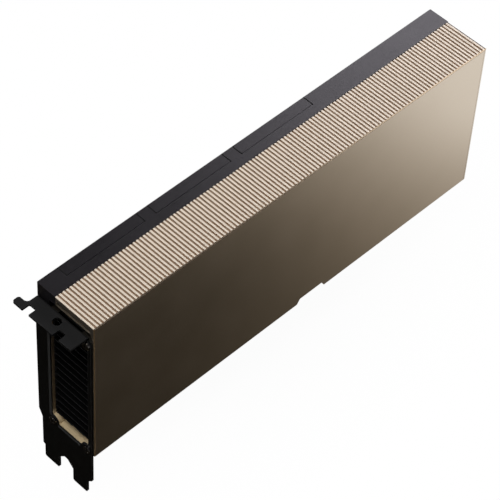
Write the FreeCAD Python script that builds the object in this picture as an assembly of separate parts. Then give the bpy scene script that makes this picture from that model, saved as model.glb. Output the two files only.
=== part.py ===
import FreeCAD, Part
import math
import os

# Passive accelerator card, two slots wide, for a server that blows air through it from end to end.
# Sizes are in millimetres. The origin is the middle of the key slot, on the lower edge of the
# contact tongue and half-way through the circuit board. +X runs from the mounting bracket to the
# far end, +Y towards the rear cover, and +Z up to the ribbed top.

# Whole card
card_height = 111.15
card_thickness = 38.67
key_to_bracket = 57.15
shroud_length = 266.2
shroud_rise = 5.9
joint_gap = 0.12

# Circuit board
board_thickness = 1.57
rear_space = 2.67
board_end_gap = 0.4
board_top_drop = 8.0
tongue_height = 8.25
short_tongue = 11.65
long_tongue = 71.65
key_width = 1.9
key_depth = 7.9
tongue_bevel = 0.45
tongue_bevel_height = 1.3
hook_relief = 4.4
hook_relief_top = 12.0
hook_toe = 1.8
hook_toe_height = 2.3
hook_low = 2.9
hook_width = 4.0

# Contacts
contact_pitch = 1.0
contact_width = 0.7
contact_length = 4.2
contact_lift = 1.5
contact_thickness = 0.05
contact_margin = 0.33

# Three bridge connectors along the top strip
bridge_count = 3
bridge_first = 12.5
bridge_length = 48.75
bridge_pitch = 56.07
bridge_window_depth = 6.7
bridge_skirt = 9.0
bridge_seam = 0.22
bridge_tongue_length = 43.0
bridge_tongue_drop = 2.3
bridge_clip_length = 5.0
bridge_clip_wall = 1.0
bridge_clip_height = 5.2

# Shroud
strip_width = 12.5
front_wall = 0.95
bottom_wall = 0.92
top_wall = 2.9
beam_height = 5.7
beam_wall = 0.6
beam_front = 2.7
beam_corner = 1.0
corner_brace = 3.5
fold_radius = 0.6
lip_depth = 4.95
rib_count = 123
rib_share = 0.5
groove_depth = 0.6
top_bevel = 0.45
far_bevel_length = 1.4
far_bevel_depth = 0.35
near_bevel = 0.45
notch_near = 137.9
notch_low_width = 20.2
notch_side_slant = 2.2
notch_height = 3.5
notch_reach = 2.4

# Rear cover
cover_wall = 1.2
cover_bevel = 0.4
cover_boss_radius = 2.4
cover_bore_radius = 1.25
cover_head_radius = 2.3
cover_head_depth = 0.7
cover_screw_near = 13.0
cover_screw_middle = 62.0
cover_screw_far = 20.0
cover_screw_high = 13.0
cover_screw_low = 5.5
film_thickness = 0.15
film_margin = 1.2

# Air duct: the ring at each end
collar_depth = 3.9
collar_wall = 0.8
corner_screw_side = 1.1
corner_screw_front = 3.0
corner_screw_low = 2.0
corner_screw_high = 7.03
boss_radius = 4.5
boss_front_inset = 1.4
intake_boss_radius = 4.9
exhaust_top_drop = 11.15
retainer_hole_radius = 1.25
lug_length = 9.0
lug_height = 5.0

# Cooler
package_height = 2.4
chamber_thickness = 2.76
base_sheet = 1.5
chamber_margin = 3.0
chamber_gap = 0.1
chamber_corner = 4.0
fin_thickness = 0.6
fin_pitch = 5.07
fin_tip_gap = 0.15
fin_start = 1.5
fin_rise = 5.28
fin_socket_gap = 4.0
post_radius = 2.5
post_bore_radius = 1.15
lug_count = 2

# Processor package
package_from_near = 118.0
substrate_size = 55.0
substrate_thickness = 1.5
stiffener_outer = 54.0
stiffener_inner = 45.0
stiffener_thickness = 0.7
die_length = 26.0
die_height = 32.0
paste_thickness = 0.1
stack_width = 8.0
stack_height = 10.0
stack_pitch = 11.0
stacks_per_side = 3
stack_gap = 0.6

# Power stages beside the processor
phase_pitch = 11.0
phase_end_margin = 14.0
near_bank_offset = -55.0
far_bank_offset = 55.0
second_bank_offset = 79.0
inductor_width = 10.0
inductor_height = 9.4
inductor_thickness = 3.1
stage_width = 5.0
stage_height = 6.0
stage_thickness = 0.9
stage_offset = 10.5
pedestal_width = 6.0
pedestal_height = 1.8
capacitor_offset = 32.0
capacitor_width = 4.3
capacitor_length = 7.3
capacitor_height = 1.9
capacitor_pitch = 9.0
capacitors_per_side = 6
filter_share = 0.6
filter_size = 6.3
filter_height = 2.8
filter_pitch = 9.5
filters_per_row = 5

# Control chips near the bracket
controller_from_near = 24.0
controller_rise = 20.0
controller_size = 12.0
memory_rise = 2.0
memory_length = 8.0
memory_width = 6.0
monitor_drop = 12.0
monitor_length = 6.0
monitor_width = 5.0
clock_drop = 24.0
clock_size = 5.0
clock_offset = 14.0
crystal_length = 4.0
crystal_width = 3.2

# Power socket at the far end
socket_top_drop = 20.0
socket_height = 18.8
socket_thickness = 10.2
socket_depth = 14.0
socket_recess = 0.3
socket_gap = 0.4
socket_pitch = 4.2
socket_cavity = 3.5
socket_cavity_depth = 10.0
socket_columns = 4
socket_rows = 2
socket_latch = 1.3
latch_width = 4.0
latch_start = 6.0
latch_flat = 2.0
latch_end = 1.0
pin_size = 1.1
pin_length = 7.5

# Spring plate and cooler screws
cooler_screw_margin = 5.33
spring_sheet = 0.8
spring_arm_width = 9.0
cooler_head_radius = 2.8
cooler_head_height = 0.5
cooler_post_radius = 3.2

# Mounting bracket
bracket_sheet = 1.2
bracket_reveal = 1.05
bend_radius = 0.5
tab_drop = 8.0
tab_depth = 11.43
tab_side = 1.3
tab_reveal = 3.25
tab_bevel = 0.3
ear_reach = 4.1
ear_width = 4.2
ear_corner = 1.3
ear_fillet = 2.2
slot_pitch = 20.32
screw_notch_side = 5.0
screw_notch_width = 4.4
screw_notch_depth = 4.5
screw_notch_corner = 0.8
tab_hole_radius = 2.4
tab_hole_in = 4.65
tab_hole_side = 18.9
shoulder_drop = 2.3
shoulder_slope = 3.2
window_side = 9.0
window_front = 3.35
window_high = 2.3
window_low = 0.35
window_bevel = 1.3
window_bevel_depth = 0.3
window_low_bevel = 0.4
bracket_drop = 120.02
waist_inset = 2.4
waist_start = 3.4
waist_slope = 4.9
foot_tongue_width = 10.19
foot_tongue_side = 3.75
foot_tongue_length = 9.0
foot_slope = 4.0
foot_corner = 1.1

# Fasteners
bracket_screw_radius = 1.25
bracket_hole_radius = 1.45
bracket_head_radius = 2.35
bracket_head_height = 1.1
bracket_screw_length = 4.6
cover_screw_radius = 1.1
cooler_screw_radius = 1.2
shroud_screw_radius = 0.8
shroud_hole_radius = 0.95
shroud_head_radius = 1.45
shroud_head_height = 0.5
shroud_screw_length = 4.2
screw_clearance = 0.05

# Planes that the pieces share
x_face = -key_to_bracket
x_near = x_face + bracket_sheet
x_far = x_near + shroud_length
x_cooler = x_near + collar_depth + joint_gap
x_cooler_end = x_far - collar_depth - joint_gap
x_package = x_near + package_from_near

y_board_rear = board_thickness / 2
y_board_front = -board_thickness / 2
y_rear = y_board_rear + rear_space
y_front = y_rear - card_thickness
y_cover_in = y_rear - cover_wall
y_strip = y_rear - strip_width
y_beam_rear = y_strip - joint_gap
y_beam_front = y_front + beam_front
y_shroud_in = y_front + front_wall
y_lip = y_rear - lip_depth
y_base_front = y_board_front - package_height - chamber_thickness
y_base_rear = y_base_front + base_sheet
y_collar_rear = y_base_front + collar_wall
y_ring_out = y_shroud_in + joint_gap
y_fin_tip = y_ring_out + collar_wall + fin_tip_gap

z_top = card_height
z_low = tongue_height + shroud_rise
z_beam = z_top - beam_height
z_floor = z_low + bottom_wall
z_duct_low = z_floor + collar_wall
z_duct_high = z_beam - joint_gap - collar_wall
z_board_top = z_top - board_top_drop
z_package = (z_duct_low + z_duct_high) / 2
z_tab_top = z_top - tab_drop
z_tab_low = z_tab_top - bracket_sheet
z_foot = z_tab_low - bracket_drop

y_window_side = y_rear - window_side
y_window_front = y_front + window_front
z_window_low = z_duct_low - window_low
z_window_high = z_tab_low - window_high
window_bosses_y = (y_window_side, y_window_front + boss_front_inset)
window_bosses_z = (z_window_low, z_window_high)
z_exhaust_top = z_top - exhaust_top_drop
x_fin_start = x_near + fin_start
z_base_tongue = (z_window_low + boss_radius + joint_gap, z_window_high - boss_radius - joint_gap)
duct_screws_y = (y_base_front - corner_screw_side, y_shroud_in + corner_screw_front)
duct_screws_z = (z_duct_low + corner_screw_low, z_duct_high - corner_screw_high)
board_near = x_near + cover_wall + board_end_gap
board_far = x_far - cover_wall - board_end_gap
tongue_near = -key_width / 2 - short_tongue
tongue_far = key_width / 2 + long_tongue
x_socket = x_far - socket_recess - socket_depth
z_socket_top = z_top - socket_top_drop
z_socket_low = z_socket_top - socket_height
y_socket_front = y_board_front - socket_thickness
bridge_starts = [x_near + bridge_first + number * bridge_pitch for number in range(bridge_count)]
cover_screws_x = (x_near + cover_screw_near, x_package + cover_screw_middle, x_far - cover_screw_far)
cover_screws_z = (z_top - cover_screw_high, z_low + cover_screw_low)
cover_points = [(x, z) for x in cover_screws_x for z in cover_screws_z]
cooler_screw_offset = (z_duct_high - z_duct_low) / 2 - cooler_screw_margin
chamber_size = 2 * (cooler_screw_offset - chamber_margin)
cooler_points = [
    (x_package + side * cooler_screw_offset, z_package + rise * cooler_screw_offset)
    for side in (-1, 1)
    for rise in (-1, 1)
]
lug_span = x_cooler_end - x_cooler - 2 * lug_length
base_lugs_x = [
    x_cooler + lug_length / 2 + (number + 0.5) * lug_span / lug_count for number in range(lug_count)
]

y_lug_screw = (y_base_rear + y_lip) / 2
shroud_screws_x = [x_near + collar_depth / 2] + base_lugs_x + [x_far - collar_depth / 2]

y_package_front = y_board_front - package_height
y_inductor_front = y_board_front - inductor_thickness
y_stage_front = y_board_front - stage_thickness
cooler_hole_radius = cooler_screw_radius + joint_gap


def vector(x, y, z):
    return FreeCAD.Vector(x, y, z)


def block(x, y, z):
    """A box from three pairs of limits."""
    low = vector(min(x), min(y), min(z))
    return Part.makeBox(max(x) - low.x, max(y) - low.y, max(z) - low.z, low)


def rod(centre, radius, length, direction):
    """A round bar that starts at its centre point and runs along a direction."""
    return Part.makeCylinder(radius, length, centre, direction)


def stud(centre, radius, length, direction, sides=8):
    """A bar with few sides, for the many shanks, posts and bores that nothing shows."""
    turns = [(number + 0.5) * 2 * math.pi / sides for number in range(sides + 1)]
    corners = [vector(radius * math.cos(turn), radius * math.sin(turn), 0) for turn in turns]
    bar = Part.Face(Part.makePolygon(corners)).extrude(vector(0, 0, length))
    bar.Placement = FreeCAD.Placement(centre, FreeCAD.Rotation(vector(0, 0, 1), direction))
    return bar


def rounded_face(corners, place):
    """A flat face from corners (u, v, radius), each corner rounded to its own radius."""
    points = [place(u, v) for u, v, radius in corners]
    radii = [radius for u, v, radius in corners]
    count = len(points)
    arrivals = []
    departures = []
    middles = []
    for index in range(count):
        corner = points[index]
        back = (points[index - 1] - corner).normalize()
        ahead = (points[(index + 1) % count] - corner).normalize()
        half = back.getAngle(ahead) / 2
        radius = radii[index]
        reach = radius / math.tan(half)
        arrivals.append(corner + back * reach)
        departures.append(corner + ahead * reach)
        inward = (back + ahead).normalize()
        middles.append(corner + inward * (radius / math.sin(half) - radius))
    edges = []
    for index in range(count):
        if radii[index] > 0:
            arc = Part.Arc(arrivals[index], middles[index], departures[index])
            edges.append(arc.toShape())
        following = (index + 1) % count
        edges.append(Part.LineSegment(departures[index], arrivals[following]).toShape())
    return Part.Face(Part.Wire(edges))


def prism_x(corners, start, end):
    """A solid with one section in Y and Z, from one X to another."""
    face = rounded_face(corners, lambda y, z: vector(start, y, z))
    return face.extrude(vector(end - start, 0, 0))


def prism_y(corners, start, end):
    """A solid with one section in X and Z, from one Y to another."""
    face = rounded_face(corners, lambda x, z: vector(x, start, z))
    return face.extrude(vector(0, end - start, 0))


def prism_z(corners, start, end):
    """A solid with one section in X and Y, from one Z to another."""
    face = rounded_face(corners, lambda x, y: vector(x, y, start))
    return face.extrude(vector(0, 0, end - start))


def joined(pieces):
    """One solid from pieces that meet."""
    return pieces[0].multiFuse(pieces[1:]).removeSplitter()


def screw(head, seat, direction, shank_radius, shank_length):
    """A screw from its head and a shank that runs from the seat against the head's direction."""
    return head.fuse(stud(seat, shank_radius, shank_length, direction * -1))


def studs_in_y(points, radius, start, end):
    """Few-sided bars along Y at each (x, z) point, for bores or for posts."""
    return [stud(vector(x, start, z), radius, end - start, vector(0, 1, 0)) for x, z in points]


def groove_comb():
    """The tool that leaves the cross ribs, behind the front bevel: one tooth for each groove."""
    pitch = shroud_length / rib_count
    above = z_top + 1
    corners = [(x_near, above + 1, 0)]
    for number in range(rib_count):
        groove_end = x_near + (number + 1) * pitch
        groove_start = groove_end - pitch * (1 - rib_share)
        if number == rib_count - 1:
            groove_end = groove_end + 1
        for x, z in (
            (groove_start, above),
            (groove_start, z_top - groove_depth),
            (groove_end, z_top - groove_depth),
            (groove_end, above),
        ):
            corners.append((x, z, 0))
    corners.append((x_far + 1.5, above, 0))
    corners.append((x_far + 1.5, above + 1, 0))
    return prism_y(corners, y_front + top_bevel, y_strip + 1)


def shroud():
    """Champagne shell: flat front, folded bottom, and a hollow beam with cross ribs on top."""
    section = [
        (y_front, z_low, fold_radius),
        (y_front, z_top, 0),
        (y_beam_rear, z_top, 0),
        (y_beam_rear, z_beam, beam_corner),
        (y_beam_front, z_beam, 0),
        (y_shroud_in, z_beam - corner_brace, 0),
        (y_shroud_in, z_floor, 0),
        (y_lip, z_floor, 0),
        (y_lip, z_low, 0),
    ]
    shell = prism_x(section, x_near, x_far)
    hollow = block(
        (x_near - 1, x_far + 1),
        (y_beam_front, y_beam_rear - beam_wall),
        (z_beam + beam_wall, z_top - top_wall),
    )
    top_edge = [
        (y_front, z_top - top_bevel, 0),
        (y_front, z_top + 1, 0),
        (y_front - 1, z_top + 1, 0),
        (y_front - 1, z_top - top_bevel, 0),
    ]
    top_cut = prism_x(
        [top_edge[0], (y_front + top_bevel, z_top, 0), (y_front + top_bevel, z_top + 1, 0)]
        + [top_edge[2], top_edge[3]],
        x_near - 1,
        x_far + 1,
    )
    far_cut = prism_z(
        [
            (x_far - far_bevel_length, y_front, 0),
            (x_far, y_front + far_bevel_depth, 0),
            (x_far + 1, y_front + far_bevel_depth, 0),
            (x_far + 1, y_front - 1, 0),
            (x_far - far_bevel_length, y_front - 1, 0),
        ],
        z_low - 1,
        z_top + 1,
    )
    near_cut = prism_z(
        [
            (x_near - 1, y_front - 1, 0),
            (x_near + near_bevel, y_front - 1, 0),
            (x_near + near_bevel, y_front, 0),
            (x_near, y_front + near_bevel, 0),
            (x_near - 1, y_front + near_bevel, 0),
        ],
        z_low - 1,
        z_top + 1,
    )
    notch_start = x_near + notch_near
    notch_end = notch_start + notch_low_width
    notch = prism_y(
        [
            (notch_start, z_low - 1, 0),
            (notch_start, z_low, 0),
            (notch_start + notch_side_slant, z_low + notch_height, 0),
            (notch_end - notch_side_slant, z_low + notch_height, 0),
            (notch_end, z_low, 0),
            (notch_end, z_low - 1, 0),
        ],
        y_front - 1,
        y_front + notch_reach,
    )
    holes = [
        stud(vector(x, y_lug_screw, z_low - 1), shroud_hole_radius, bottom_wall + 2, vector(0, 0, 1))
        for x in shroud_screws_x
    ]
    return shell.cut([hollow, top_cut, far_cut, near_cut, notch, groove_comb()] + holes)


def end_wall(start, end):
    """An end wall of the rear cover, stepped back from the duct ring and from its lug."""
    y_side = y_collar_rear + joint_gap
    y_low_side = y_lip + joint_gap
    z_step = z_floor + lug_height + joint_gap
    return prism_x(
        [
            (y_rear, z_low, 0),
            (y_rear, z_top, 0),
            (y_strip, z_top, 0),
            (y_strip, z_beam, 0),
            (y_side, z_beam, 0),
            (y_side, z_step, 0),
            (y_low_side, z_step, 0),
            (y_low_side, z_low, 0),
        ],
        start,
        end,
    )


def rear_cover():
    """Black tray behind the board, with the flat top strip and both end walls in one casting."""
    outside = joined(
        [
            block((x_near, x_far), (y_cover_in, y_rear), (z_low, z_top)),
            block((x_near, x_far), (y_strip, y_rear), (z_top - cover_wall, z_top)),
            end_wall(x_near, x_near + cover_wall),
            end_wall(x_far - cover_wall, x_far),
        ]
    )
    rim = [
        edge
        for edge in outside.Edges
        if abs(edge.BoundBox.YMin - y_rear) < 0.001 and abs(edge.BoundBox.YMax - y_rear) < 0.001
    ]
    outside = outside.makeChamfer(cover_bevel, rim)
    bosses = studs_in_y(cover_points, cover_boss_radius, y_board_rear, y_cover_in)
    cover = joined([outside] + bosses)
    cuts = studs_in_y(cover_points, cover_bore_radius, y_board_rear - 1, y_rear + 1)
    for x, z in cover_points:
        seat = vector(x, y_rear - cover_head_depth, z)
        cuts.append(rod(seat, cover_head_radius + joint_gap, cover_head_depth + 1, vector(0, 1, 0)))
    for start in bridge_starts:
        window = block(
            (start - bridge_seam, start + bridge_length + bridge_seam),
            (y_rear - bridge_window_depth - bridge_seam, y_rear + 1),
            (z_top - bridge_skirt - bridge_seam, z_top + 1),
        )
        cuts.append(window)
    cuts.append(
        block(
            (x_far - cover_wall - 1, x_far + 1),
            (y_socket_front - socket_gap, y_board_front),
            (z_socket_low - socket_gap, z_socket_top + socket_gap),
        )
    )
    return cover.cut(cuts)


def bridge_cover(start):
    """A snap-on cap over one bridge tongue, flush with the top strip and the rear face."""
    section = [
        (y_rear, z_top - bridge_skirt, 0),
        (y_rear, z_top - cover_bevel, 0),
        (y_rear - cover_bevel, z_top, 0),
        (y_rear - bridge_window_depth, z_top, 0),
        (y_rear - bridge_window_depth, z_top - cover_wall, 0),
        (y_cover_in, z_top - cover_wall, 0),
        (y_cover_in, z_top - bridge_skirt, 0),
    ]
    pieces = [prism_x(section, start, start + bridge_length)]
    clip_low = z_top - cover_wall - bridge_clip_height
    margin = (bridge_length - bridge_tongue_length) / 2 + bridge_clip_wall
    for clip_start in (start + margin, start + bridge_length - margin - bridge_clip_length):
        span = (clip_start, clip_start + bridge_clip_length)
        front = y_board_front - contact_thickness - screw_clearance
        behind = y_board_rear + contact_thickness + screw_clearance
        pieces.append(block(span, (front - bridge_clip_wall, front), (clip_low, z_top - cover_wall)))
        pieces.append(block(span, (behind, y_cover_in), (clip_low, z_top - cover_wall)))
    return joined(pieces)


def circuit_board():
    """The board, with its contact tongue, key slot, latch hook and bridge tongues in one outline."""
    key = key_width / 2
    relief_end = tongue_far + hook_relief
    toe_start = relief_end - hook_toe
    hook_end = relief_end + hook_width
    corners = [
        (board_near, tongue_height, 0),
        (tongue_near, tongue_height, 0),
        (tongue_near, 0, 0),
        (-key, 0, 0),
        (-key, key_depth, key * 0.98),
        (key, key_depth, key * 0.98),
        (key, 0, 0),
        (tongue_far, 0, 0),
        (tongue_far, hook_relief_top, 0),
        (relief_end, hook_relief_top, 0),
        (relief_end, hook_low + hook_toe_height, 0),
        (toe_start, hook_low + hook_toe_height, 0),
        (toe_start, hook_low, 0),
        (hook_end, hook_low, 0),
        (hook_end, tongue_height, 0),
        (board_far, tongue_height, 0),
        (board_far, z_board_top, 0),
    ]
    for start in reversed(bridge_starts):
        middle = start + bridge_length / 2
        for side in (1, -1):
            edge = middle + side * bridge_tongue_length / 2
            steps = [(edge, z_board_top, 0), (edge, z_top - bridge_tongue_drop, 0)]
            corners += steps if side > 0 else steps[::-1]
    corners.append((board_near, z_board_top, 0))
    board = prism_y(corners, y_board_front, y_board_rear)
    cuts = []
    for side in (-1, 1):
        face = side * board_thickness / 2
        wedge = [
            (face, tongue_bevel_height, 0),
            (face - side * tongue_bevel, 0, 0),
            (face - side * tongue_bevel, -1, 0),
            (face + side, -1, 0),
            (face + side, tongue_bevel_height, 0),
        ]
        cuts.append(prism_x(wedge, tongue_near - 1, tongue_far + 1))
    cuts += studs_in_y(cover_points, cover_bore_radius, y_board_front - 1, y_board_rear + 1)
    cuts += studs_in_y(cooler_points, cooler_hole_radius, y_board_front - 1, y_board_rear + 1)
    return board.cut(cuts)


def edge_contacts():
    """Contacts on both faces of the tongue, in the two stretches beside the key slot."""
    pads = []
    for first, last in ((tongue_near, -key_width / 2), (key_width / 2, tongue_far)):
        room = last - first - 2 * contact_margin - contact_width
        count = int(round(room / contact_pitch)) + 1
        for number in range(count):
            x = first + contact_margin + number * room / (count - 1)
            for face in (y_board_rear, y_board_front - contact_thickness):
                pad = block(
                    (x, x + contact_width),
                    (face, face + contact_thickness),
                    (contact_lift, contact_lift + contact_length),
                )
                pads.append(pad)
    return Part.makeCompound(pads)


def corner_bosses(centres_y, centres_z, radius, start, end, side_limits, height_limits):
    """Round bosses at four corners, each run out to the two walls of its corner."""
    pieces = []
    for y, side in zip(centres_y, side_limits):
        for z, height in zip(centres_z, height_limits):
            away_y = -1 if side > y else 1
            away_z = -1 if height > z else 1
            pieces.append(rod(vector(start, y, z), radius, end - start, vector(1, 0, 0)))
            pieces.append(block((start, end), (y, side), (z + away_z * radius, height)))
            pieces.append(block((start, end), (y + away_y * radius, side), (z, height)))
    return pieces


def duct_ring(start, end, z_out, z_opening, centres_y, centres_z, radius):
    """The ring round one end of the air duct, with corner bosses and a lug for the shroud."""
    z_brace = z_beam - joint_gap
    brace_lean = (beam_front - front_wall) / corner_brace
    outside = prism_x(
        [
            (y_ring_out, z_floor, 0),
            (y_collar_rear, z_floor, 0),
            (y_collar_rear, z_out, 0),
            (y_beam_front + joint_gap - (z_brace - z_out) * brace_lean, z_out, 0),
            (y_ring_out, z_brace - corner_brace - joint_gap, 0),
        ],
        start,
        end,
    )
    opening = block(
        (start - 1, end + 1),
        (y_ring_out + collar_wall, y_base_front),
        (z_duct_low, z_opening),
    )
    ring = outside.cut(opening)
    walls = (y_collar_rear, y_ring_out)
    bosses = corner_bosses(centres_y, centres_z, radius, start, end, walls, (z_floor, z_out))
    kept = [boss.common(outside) for boss in bosses]
    lug = block((start, end), (y_base_front, y_lip), (z_floor, z_floor + lug_height))
    return joined([ring] + kept + [lug])


def lug_bores(places):
    """Screw bores in the lugs that the shroud's bottom wall is fixed to."""
    radius = shroud_screw_radius + screw_clearance
    return [
        stud(vector(x, y_lug_screw, z_floor - 1), radius, lug_height + 2, vector(0, 0, 1))
        for x in places
    ]


def exhaust_collar():
    """Champagne ring behind the bracket's window; the bracket screws go into its bosses."""
    end = x_near + collar_depth
    z_out = z_exhaust_top
    ring = duct_ring(x_near, end, z_out, z_out + 1, window_bosses_y, window_bosses_z, boss_radius)
    radius = bracket_screw_radius + screw_clearance
    holes = [
        stud(vector(x_near - 1, y, z), radius, collar_depth + 2, vector(1, 0, 0))
        for y in duct_screws_y
        for z in duct_screws_z
    ]
    recess = block(
        (x_fin_start - joint_gap, end + 1),
        (y_base_front - 1, y_collar_rear + 1),
        (z_base_tongue[0] - joint_gap, z_base_tongue[1] + joint_gap),
    )
    return ring.cut(holes + [recess] + lug_bores([x_near + collar_depth / 2]))


def intake_frame():
    """Black ring at the far end, open for the power socket, with holes for a card retainer."""
    start = x_far - collar_depth
    z_out = z_beam - joint_gap
    z_opening = z_out - collar_wall
    ring = duct_ring(start, x_far, z_out, z_opening, duct_screws_y, duct_screws_z, intake_boss_radius)
    holes = [
        rod(vector(start - 1, y, z), retainer_hole_radius, collar_depth + 2, vector(1, 0, 0))
        for y in duct_screws_y
        for z in duct_screws_z
    ]
    socket_space = block(
        (start - 1, x_far + 1),
        (y_socket_front - socket_gap, y_board_front),
        (z_socket_low - socket_gap, z_socket_top + socket_gap),
    )
    return ring.cut(holes + [socket_space] + lug_bores([x_far - collar_depth / 2]))


def phase_heights():
    """Heights of the power phases in one bank, centred on the duct."""
    room = z_duct_high - z_duct_low - 2 * phase_end_margin
    count = int(room / phase_pitch) + 1
    first = z_package - (count - 1) * phase_pitch / 2
    return [first + number * phase_pitch for number in range(count)]


def chamber_outline(grown):
    """The vapour chamber's outline with cut corners, grown by a clearance."""
    outer = chamber_size / 2 + grown
    inner = outer - chamber_corner
    steps = ((outer, inner), (inner, outer), (-inner, outer), (-outer, inner))
    half_turn = [(-u, -v) for u, v in steps]
    return [(x_package + u, z_package + v, 0) for u, v in list(steps) + half_turn]


def cooler_base():
    """Plate under the fins, open for the vapour chamber, with posts, pedestals and lugs."""
    plate = block((x_cooler, x_cooler_end), (y_base_front, y_base_rear), (z_floor, z_beam - joint_gap))
    opening = prism_y(chamber_outline(chamber_gap), y_base_front - 1, y_base_rear + 1)
    socket_space = block(
        (x_socket - fin_socket_gap, x_far),
        (y_base_front - 1, y_base_rear + 1),
        (z_socket_low - socket_gap, z_socket_top + socket_gap),
    )
    near_tongue = block((x_fin_start, x_cooler + 1), (y_base_front, y_base_rear), z_base_tongue)
    pieces = [plate.cut([opening, socket_space]), near_tongue]
    pieces += studs_in_y(cover_points, post_radius, y_base_rear, y_board_front)
    pieces += studs_in_y(cooler_points, cooler_post_radius, y_base_rear, y_board_front)
    heights = phase_heights()
    for offset in stage_columns():
        x = x_package + offset
        pieces.append(
            block(
                (x - pedestal_width / 2, x + pedestal_width / 2),
                (y_base_rear, y_base_rear + pedestal_height),
                (heights[0] - stage_height / 2, heights[-1] + stage_height / 2),
            )
        )
    for x in base_lugs_x:
        pieces.append(
            block(
                (x - lug_length / 2, x + lug_length / 2),
                (y_base_rear, y_lip),
                (z_floor, z_floor + lug_height),
            )
        )
    cuts = studs_in_y(cover_points, post_bore_radius, y_base_rear, y_board_front + 1)
    cooler_bore = cooler_screw_radius + screw_clearance
    cuts += studs_in_y(cooler_points, cooler_bore, y_base_rear, y_board_front + 1)
    return joined(pieces).cut(cuts + lug_bores(base_lugs_x))


def vapour_chamber():
    """Flat copper chamber between the processor and the fins."""
    return prism_y(chamber_outline(0), y_base_front, y_base_front + chamber_thickness)


def cooling_fins():
    """Flat plates along the duct, stacked upwards, cut short in front of the power socket."""
    fins = []
    first = z_duct_low + fin_rise
    brace_lean = (beam_front - front_wall) / corner_brace
    z_brace = z_beam - corner_brace + (y_fin_tip - y_shroud_in) / brace_lean
    count = int((z_brace - joint_gap - fin_thickness / 2 - first) / fin_pitch) + 1
    boss_low = z_window_high - boss_radius
    for number in range(count):
        middle = first + number * fin_pitch
        low = middle - fin_thickness / 2
        top = middle + fin_thickness / 2
        beside_boss = top > boss_low - joint_gap
        start = x_cooler if beside_boss else x_fin_start
        near_socket = top > z_socket_low - 1 and low < z_socket_top + 1
        end = x_socket - fin_socket_gap if near_socket else x_cooler_end
        fins.append(block((start, end), (y_fin_tip, y_base_front), (low, top)))
    return Part.makeCompound(fins)


def chip(x, z, width, height, rear, front):
    """A flat component on the board or on another component."""
    return block((x - width / 2, x + width / 2), (rear, front), (z - height / 2, z + height / 2))


def substrate():
    """Carrier of the processor, soldered to the board."""
    front = y_board_front - substrate_thickness
    return chip(x_package, z_package, substrate_size, substrate_size, y_board_front, front)


def package_stiffener():
    """Metal frame round the die on the carrier's front."""
    rear = y_board_front - substrate_thickness
    front = rear - stiffener_thickness
    outside = chip(x_package, z_package, stiffener_outer, stiffener_outer, rear, front)
    inside = chip(x_package, z_package, stiffener_inner, stiffener_inner, rear + 1, front - 1)
    return outside.cut(inside)


def stack_places():
    """Middles of the memory stacks, in a column on each side of the die."""
    reach = die_length / 2 + stack_gap + stack_width / 2
    first = -(stacks_per_side - 1) * stack_pitch / 2
    return [
        (x_package + side * reach, z_package + first + number * stack_pitch)
        for side in (-1, 1)
        for number in range(stacks_per_side)
    ]


def die_layer(rear, front):
    """The die's outline between two depths."""
    return chip(x_package, z_package, die_length, die_height, rear, front)


def stack_layer(rear, front):
    """The memory stacks' outlines between two depths."""
    return [chip(x, z, stack_width, stack_height, rear, front) for x, z in stack_places()]


def inductor_columns():
    """Offsets of the inductor banks from the processor's middle."""
    return (near_bank_offset, far_bank_offset, second_bank_offset)


def stage_columns():
    """Offsets of the power stages, on the side of each bank that faces away from the processor."""
    return [offset + math.copysign(stage_offset, offset) for offset in inductor_columns()]


def power_inductors():
    """Moulded inductors, one for each phase."""
    front = y_board_front - inductor_thickness
    return Part.makeCompound(
        [
            chip(x_package + offset, z, inductor_width, inductor_height, y_board_front, front)
            for offset in inductor_columns()
            for z in phase_heights()
        ]
    )


def power_stages():
    """Switching stages beside the inductors."""
    front = y_board_front - stage_thickness
    return Part.makeCompound(
        [
            chip(x_package + offset, z, stage_width, stage_height, y_board_front, front)
            for offset in stage_columns()
            for z in phase_heights()
        ]
    )


def pad_strips(columns, width, piece_height, rear, front):
    """One soft strip over each column of components."""
    heights = phase_heights()
    low = heights[0] - piece_height / 2
    high = heights[-1] + piece_height / 2
    strips = []
    for offset in columns:
        x = x_package + offset
        strips.append(block((x - width / 2, x + width / 2), (rear, front), (low, high)))
    return Part.makeCompound(strips)


def output_capacitors():
    """Flat capacitors on both sides of the processor's carrier."""
    first = z_package - (capacitors_per_side - 1) * capacitor_pitch / 2
    front = y_board_front - capacitor_height
    return Part.makeCompound(
        [
            chip(
                x_package + side * capacitor_offset,
                first + number * capacitor_pitch,
                capacitor_width,
                capacitor_length,
                y_board_front,
                front,
            )
            for side in (-1, 1)
            for number in range(capacitors_per_side)
        ]
    )


def input_capacitors():
    """Filter capacitors near the power socket, in two columns below it."""
    front = y_board_front - filter_height
    size = filter_size
    x_stages = x_package + stage_columns()[-1] + stage_width / 2
    x = x_stages + (x_socket - x_stages) * filter_share - filter_pitch / 2
    low = z_floor + lug_height + size
    return Part.makeCompound(
        [
            chip(x + column * filter_pitch, low + row * filter_pitch, size, size, y_board_front, front)
            for column in (0, 1)
            for row in range(filters_per_row)
        ]
    )


def control_chips():
    """The management controller, its memory and the clock parts near the bracket end."""
    front = y_board_front - stage_thickness
    x = x_near + controller_from_near
    x_clock = x + clock_offset
    places = (
        (x, z_package + controller_rise, controller_size, controller_size),
        (x, z_package + memory_rise, memory_length, memory_width),
        (x, z_package - monitor_drop, monitor_length, monitor_width),
        (x, z_package - clock_drop, clock_size, clock_size),
        (x_clock, z_package - clock_drop, crystal_length, crystal_width),
    )
    return Part.makeCompound(
        [chip(x, z, width, height, y_board_front, front) for x, z, width, height in places]
    )


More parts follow.
